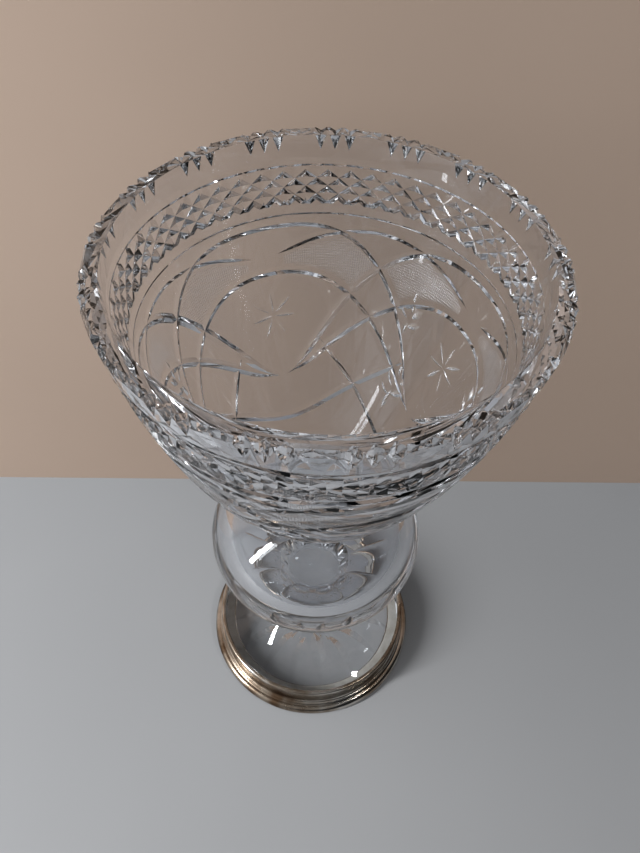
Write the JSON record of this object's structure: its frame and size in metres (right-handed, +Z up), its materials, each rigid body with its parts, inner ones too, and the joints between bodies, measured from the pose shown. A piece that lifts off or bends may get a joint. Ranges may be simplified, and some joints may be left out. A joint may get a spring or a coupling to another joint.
{
  "type": "flower vase",
  "caption": "Footed crystal flower vase: a deep flared bowl with a notched rim over a globe and a waisted foot, set in a stepped silver mount.",
  "frame": {"origin": "centre of the circle on which the silver base wire rests on the table", "axes": "+Z up along the vase's axis, from the table to the rim; the vase is round, and +X and +Y are across it"},
  "size_m": [0.1996, 0.1994, 0.355],
  "materials": {
    "crystal": "clear lead crystal, cut and polished",
    "silver_sheet": "polished silver with light tarnish",
    "silver_wire": "polished silver with light tarnish",
    "cement": "matt plaster cement"
  },
  "bodies": {
    "root": {"glass_vessel": "crystal", "foot_collar": "silver_sheet", "upper_bead": "silver_wire", "base_wire": "silver_wire", "cement_bed": "cement"}
  },
  "joints": []
}
